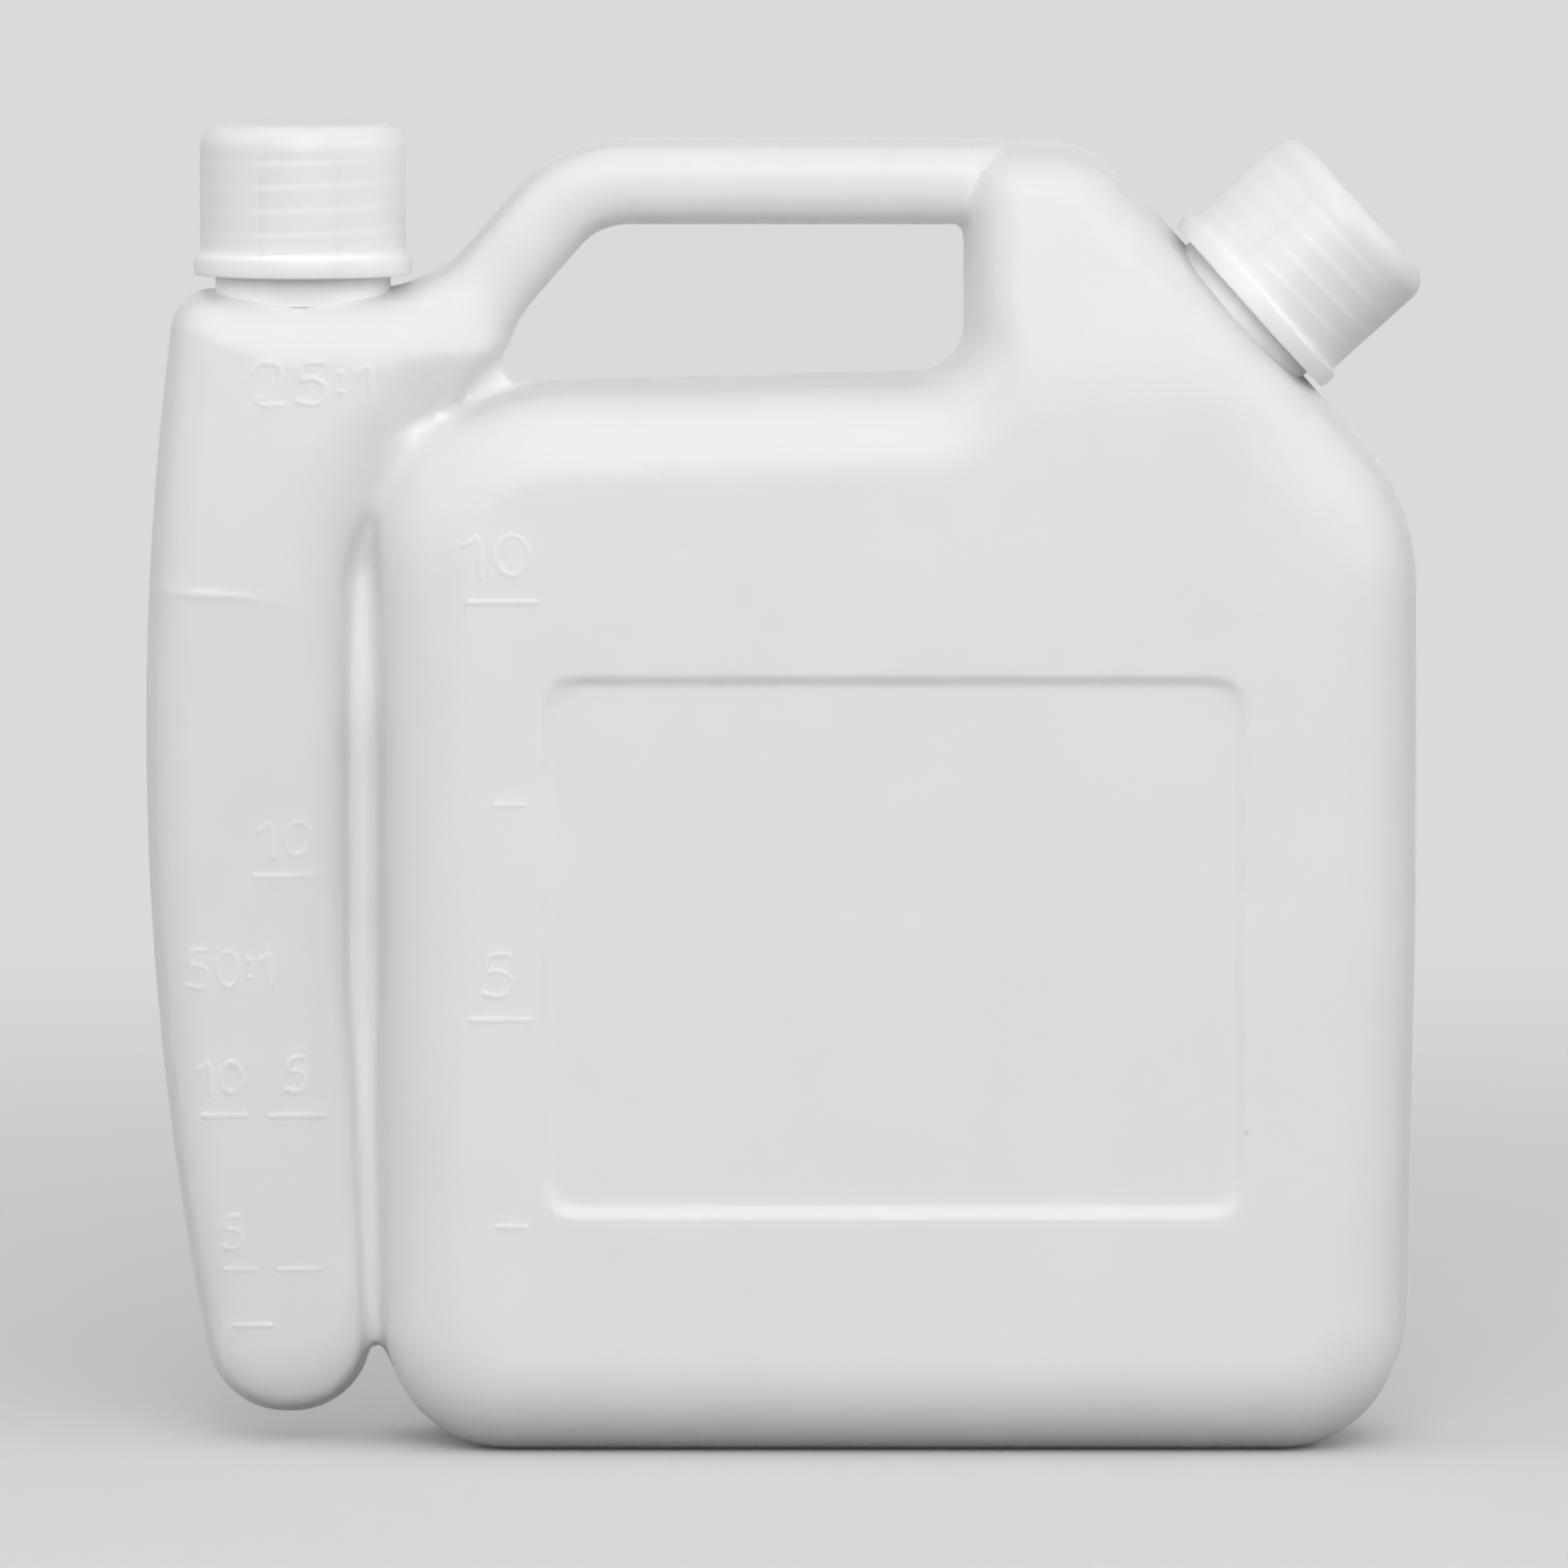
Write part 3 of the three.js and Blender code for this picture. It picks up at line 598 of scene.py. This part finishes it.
def marks():
    paths = [path for number in NUMBERS for path in number_paths(*number)]
    for left, right, height in LINES:
        across = np.array(steps(left + BEAD_WIDTH / 2, right - BEAD_WIDTH / 2, 1.1))
        paths.append(np.stack([across, np.full(len(across), height)], -1))
    closed = [np.allclose(path[0], path[-1]) for path in paths]
    paths = [path[:-1] if loop else path for path, loop in zip(paths, closed)]
    ends = np.cumsum([len(path) for path in paths])[:-1]
    at, normal = (np.split(values, ends) for values in on_front(np.concatenate(paths)))
    vertices, faces, start = [], [], 0
    for here, up, loop in zip(at, normal, closed):
        points, quads = bead(here, up, loop)
        vertices.append(points)
        faces += [tuple(start + v for v in quad) for quad in quads]
        start += len(points)
    return mesh_object("marks", np.concatenate(vertices), faces)


# Shell mesh
def shell_mesh():
    fine = 1.0
    xs = spaced((-105, -96, 1.6 * fine), (-96, -44, 1.0 * fine), (-44, -39.5, 1.4 * fine),
                (-39.5, -36.5, 0.5 * fine), (-36.5, 22, 2.1 * fine), (22, 40, 1.1 * fine),
                (40, 71.5, 1.8 * fine), (71.5, 74.7, 0.5 * fine), (74.7, 104.5, 1.5 * fine))
    half = list(spaced((0, 0.6, 0.2), (0.6, 3.2, 0.85 * fine), (3.2, 27, 1.65 * fine)))
    ys = np.array([-v for v in half[:0:-1]] + half)
    zs = spaced((-2, 3, 0.7 * fine), (3, 38, 1.7 * fine), (38, 41.2, 0.5 * fine),
                (41.2, 123.4, 2.1 * fine), (123.4, 126.6, 0.5 * fine), (126.6, 135.6, 1.4 * fine),
                (135.6, 140, 0.5 * fine),
                (140, 192, 1.15 * fine), (192, 213, 1.2 * fine))
    vertices, quads = surface(shell, xs + 0.013, ys + 0.011, zs + 0.017)
    outer = mesh_object("shell", settled(shell, vertices), quads)

    def hollow(x, y, z):
        return shell(x, y, z) + WALL

    coarse = 3.6 * fine
    vertices, quads = surface(hollow, spaced((-105, 105, coarse)) + 0.013,
                              spaced((-27, 27, coarse)) + 0.011, spaced((-2, 213, coarse)) + 0.017)
    inner = mesh_object("inner", settled(hollow, vertices, limit=1.2), quads)
    return outer, inner


def material(name):
    made = bpy.data.materials.new(name)
    made.use_nodes = True
    shader = made.node_tree.nodes["Principled BSDF"]
    return made, shader


def multiplied(tree, a, b):
    mix = tree.nodes.new("ShaderNodeMix")
    mix.data_type = "RGBA"
    mix.blend_type = "MULTIPLY"
    mix.inputs["Factor"].default_value = 1
    tree.links.new(a, mix.inputs["A"])
    tree.links.new(b, mix.inputs["B"])
    return mix.outputs["Result"]


def plastic(name, colour, roughness, subsurface, painted_light_and_seams=False, specks=()):
    made, shader = material(name)
    tree = made.node_tree
    shader.inputs["Subsurface Weight"].default_value = subsurface
    shader.inputs["Subsurface Radius"].default_value = (1.0, 1.0, 1.0)
    shader.inputs["Subsurface Scale"].default_value = 0.004
    shader.subsurface_method = "BURLEY"
    place = tree.nodes.new("ShaderNodeTexCoord")
    cloud = tree.nodes.new("ShaderNodeTexNoise")
    cloud.inputs["Scale"].default_value = 38
    cloud.inputs["Detail"].default_value = 4
    ramp = tree.nodes.new("ShaderNodeValToRGB")
    ramp.color_ramp.elements[0].position = 0.3
    ramp.color_ramp.elements[1].position = 0.7
    ramp.color_ramp.elements[0].color = (*[c * 0.975 for c in colour], 1)
    ramp.color_ramp.elements[1].color = (*colour, 1)
    tree.links.new(place.outputs["Object"], cloud.inputs["Vector"])
    tree.links.new(cloud.outputs["Fac"], ramp.inputs["Fac"])
    tone = ramp.outputs["Color"]
    wear = tree.nodes.new("ShaderNodeMapRange")
    wear.inputs["To Min"].default_value = roughness - 0.06
    wear.inputs["To Max"].default_value = roughness + 0.06
    tree.links.new(cloud.outputs["Fac"], wear.inputs["Value"])
    tree.links.new(wear.outputs["Result"], shader.inputs["Roughness"])
    grain = tree.nodes.new("ShaderNodeTexNoise")
    grain.inputs["Scale"].default_value = 900
    raised = tree.nodes.new("ShaderNodeBump")
    raised.inputs["Strength"].default_value = 0.25
    raised.inputs["Distance"].default_value = 0.00004
    tree.links.new(place.outputs["Object"], grain.inputs["Vector"])
    tree.links.new(grain.outputs["Fac"], raised.inputs["Height"])
    tree.links.new(raised.outputs["Normal"], shader.inputs["Normal"])
    # Painted light and shade, and the caps' mould seams, multiplied into the base colour
    if painted_light_and_seams:
        shown = tree.nodes.new("ShaderNodeVertexColor")
        shown.layer_name = "painted_light_and_seams"
        tone = multiplied(tree, tone, shown.outputs["Color"])
    for spot, size, shade in specks:
        away = tree.nodes.new("ShaderNodeVectorMath")
        away.operation = "DISTANCE"
        away.inputs[1].default_value = [c * MM for c in spot]
        dot = tree.nodes.new("ShaderNodeMapRange")
        dot.interpolation_type = "SMOOTHSTEP"
        for socket, value in zip(("From Min", "From Max", "To Min", "To Max"),
                                 (size * 0.3 * MM, size * MM, shade, 1)):
            dot.inputs[socket].default_value = value
        tree.links.new(place.outputs["Object"], away.inputs[0])
        tree.links.new(away.outputs["Value"], dot.inputs["Value"])
        tone = multiplied(tree, tone, dot.outputs["Result"])
    tree.links.new(tone, shader.inputs["Base Color"])
    return made


def finished(piece, body, replaced, look, angle=40):
    piece.data.materials.clear()
    piece.data.materials.append(look)
    if not piece.data.has_custom_normals:
        piece.data.shade_smooth()
        piece.data.set_sharp_from_angle(angle=math.radians(angle))
    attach(piece, body)
    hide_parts(replaced)


shell_look = plastic("shell_plastic", (0.86, 0.86, 0.855), 0.42, 0.5, painted_light_and_seams=True, specks=SPECKS)
cap_look = plastic("cap_plastic", (0.89, 0.89, 0.885), 0.36, 0.6, painted_light_and_seams=True)
foam_look = plastic("liner_foam", (0.88, 0.88, 0.87), 0.85, 0.1)

outer, inner = shell_mesh()
for key, place in NECKS.items():
    joined(outer, neck(key + "_neck", place), "UNION")
joined(outer, inner, "DIFFERENCE")
for key, place in NECKS.items():
    joined(outer, bore(key + "_bore", place), "DIFFERENCE")
joined(outer, marks(), "UNION")
# Painted glow near the web, kept as a colour attribute on the shell
painted_web_glow(outer)
evened(outer)
outer.name = "blown_shell"
finished(outer, "bottle", "bottle", shell_look)
for key, place in NECKS.items():
    finished(cap(key + "_shell", place), key, key, cap_look)
    finished(liner(key + "_disc", place), key + "_liner", key + "_liner", foam_look)


# Stage, lights and camera
def stage_plane(name, size, location, turn):
    made = mesh_object(name, np.array([(-1, -1, 0), (1, -1, 0), (1, 1, 0), (-1, 1, 0)]) * size / 2 / 1.0,
                       [(0, 1, 2, 3)])
    made.location = location
    made.rotation_euler = turn
    return made


def seen_rays(tree):
    """1 for the rays that show the background: camera, glossy and transmission rays."""
    path = tree.nodes.new("ShaderNodeLightPath")
    total = path.outputs["Is Camera Ray"]
    for other in ("Is Glossy Ray", "Is Transmission Ray"):
        both = tree.nodes.new("ShaderNodeMath")
        both.operation = "MAXIMUM"
        tree.links.new(total, both.inputs[0])
        tree.links.new(path.outputs[other], both.inputs[1])
        total = both.outputs["Value"]
    return total


def stage_look(name, seen, lit, near, far):
    """A floor that is pale to the camera, darker to the object, and fades into the backdrop."""
    made, shader = material(name)
    tree = made.node_tree
    shader.inputs["Roughness"].default_value = 0.9
    shader.inputs["Specular IOR Level"].default_value = 0.2
    tone = tree.nodes.new("ShaderNodeMix")
    tone.data_type = "RGBA"
    tone.inputs["A"].default_value = (lit, lit, lit, 1)
    tone.inputs["B"].default_value = (seen, seen, seen, 1)
    tree.links.new(seen_rays(tree), tone.inputs["Factor"])
    tree.links.new(tone.outputs["Result"], shader.inputs["Base Color"])
    place = tree.nodes.new("ShaderNodeTexCoord")
    reach = tree.nodes.new("ShaderNodeVectorMath")
    reach.operation = "LENGTH"
    fade = tree.nodes.new("ShaderNodeMapRange")
    fade.inputs["From Min"].default_value = near
    fade.inputs["From Max"].default_value = far
    fade.interpolation_type = "SMOOTHSTEP"
    both = tree.nodes.new("ShaderNodeMath")
    both.operation = "MULTIPLY"
    glow = tree.nodes.new("ShaderNodeEmission")
    glow.inputs["Color"].default_value = (BACKDROP, BACKDROP, BACKDROP, 1)
    mix = tree.nodes.new("ShaderNodeMixShader")
    tree.links.new(place.outputs["Object"], reach.inputs[0])
    tree.links.new(reach.outputs["Value"], fade.inputs["Value"])
    tree.links.new(fade.outputs["Result"], both.inputs[0])
    tree.links.new(seen_rays(tree), both.inputs[1])
    tree.links.new(both.outputs["Value"], mix.inputs["Fac"])
    tree.links.new(shader.outputs["BSDF"], mix.inputs[1])
    tree.links.new(glow.outputs["Emission"], mix.inputs[2])
    tree.links.new(mix.outputs["Shader"], tree.nodes["Material Output"].inputs["Surface"])
    return made


BACKDROP, SKY_LOW, SKY_HIGH = 0.70, 0.93, 0.38
floor = stage_plane("floor", 40000, (0, 0, 0), (0, 0, 0))
floor.data.materials.append(stage_look("stage", 0.80, 0.22, 0.25, 0.9))

world = bpy.data.worlds.new("studio")
bpy.context.scene.world = world
world.use_nodes = True
sky = world.node_tree.nodes["Background"]
sky.inputs["Color"].default_value = (1, 1, 1, 1)
links = world.node_tree.links
look = world.node_tree.nodes.new("ShaderNodeTexCoord")
parts = world.node_tree.nodes.new("ShaderNodeSeparateXYZ")
height = world.node_tree.nodes.new("ShaderNodeMapRange")
height.inputs["From Min"].default_value = 0.15
height.inputs["From Max"].default_value = 0.9
height.inputs["To Min"].default_value = SKY_LOW
height.inputs["To Max"].default_value = SKY_HIGH
links.new(look.outputs["Generated"], parts.inputs["Vector"])
links.new(parts.outputs["Z"], height.inputs["Value"])
links.new(height.outputs["Result"], sky.inputs["Strength"])
behind = world.node_tree.nodes.new("ShaderNodeBackground")
behind.inputs["Color"].default_value = (BACKDROP, BACKDROP, BACKDROP, 1)
chosen = world.node_tree.nodes.new("ShaderNodeMixShader")
links.new(seen_rays(world.node_tree), chosen.inputs["Fac"])
links.new(sky.outputs["Background"], chosen.inputs[1])
links.new(behind.outputs["Background"], chosen.inputs[2])
links.new(chosen.outputs["Shader"], world.node_tree.nodes["World Output"].inputs["Surface"])


def lamp(name, location, size, power, aim=(0, 0, 0.11)):
    light = bpy.data.lights.new(name, "AREA")
    light.energy = power
    light.size = size
    made = bpy.data.objects.new(name, light)
    made.location = location
    made.rotation_euler = (Vector(aim) - Vector(location)).to_track_quat("-Z", "Y").to_euler()
    bpy.context.scene.collection.objects.link(made)


lamp("key", (0.15, -1.10, 1.10), 0.9, 4.0)
lamp("front", (0.0, -1.6, 0.65), 0.9, 6.0)
lamp("left", (-1.5, -0.5, 0.7), 0.9, 2.6)
lamp("right", (1.5, -0.5, 0.7), 0.9, 3.2)

camera_data = bpy.data.cameras.new("camera")
camera = bpy.data.objects.new("camera", camera_data)
bpy.context.scene.collection.objects.link(camera)
bpy.context.scene.camera = camera
DISTANCE, RISE, CENTRE = 2.6, math.radians(4.9), 0.1064
camera.location = (0, -DISTANCE * math.cos(RISE), CENTRE + DISTANCE * math.sin(RISE))
camera.rotation_euler = (math.pi / 2 - RISE, 0, 0)
camera_data.sensor_width = 36
camera_data.lens = 370
camera_data.clip_start, camera_data.clip_end = 0.05, 50

bpy.context.scene.view_settings.view_transform = "Standard"
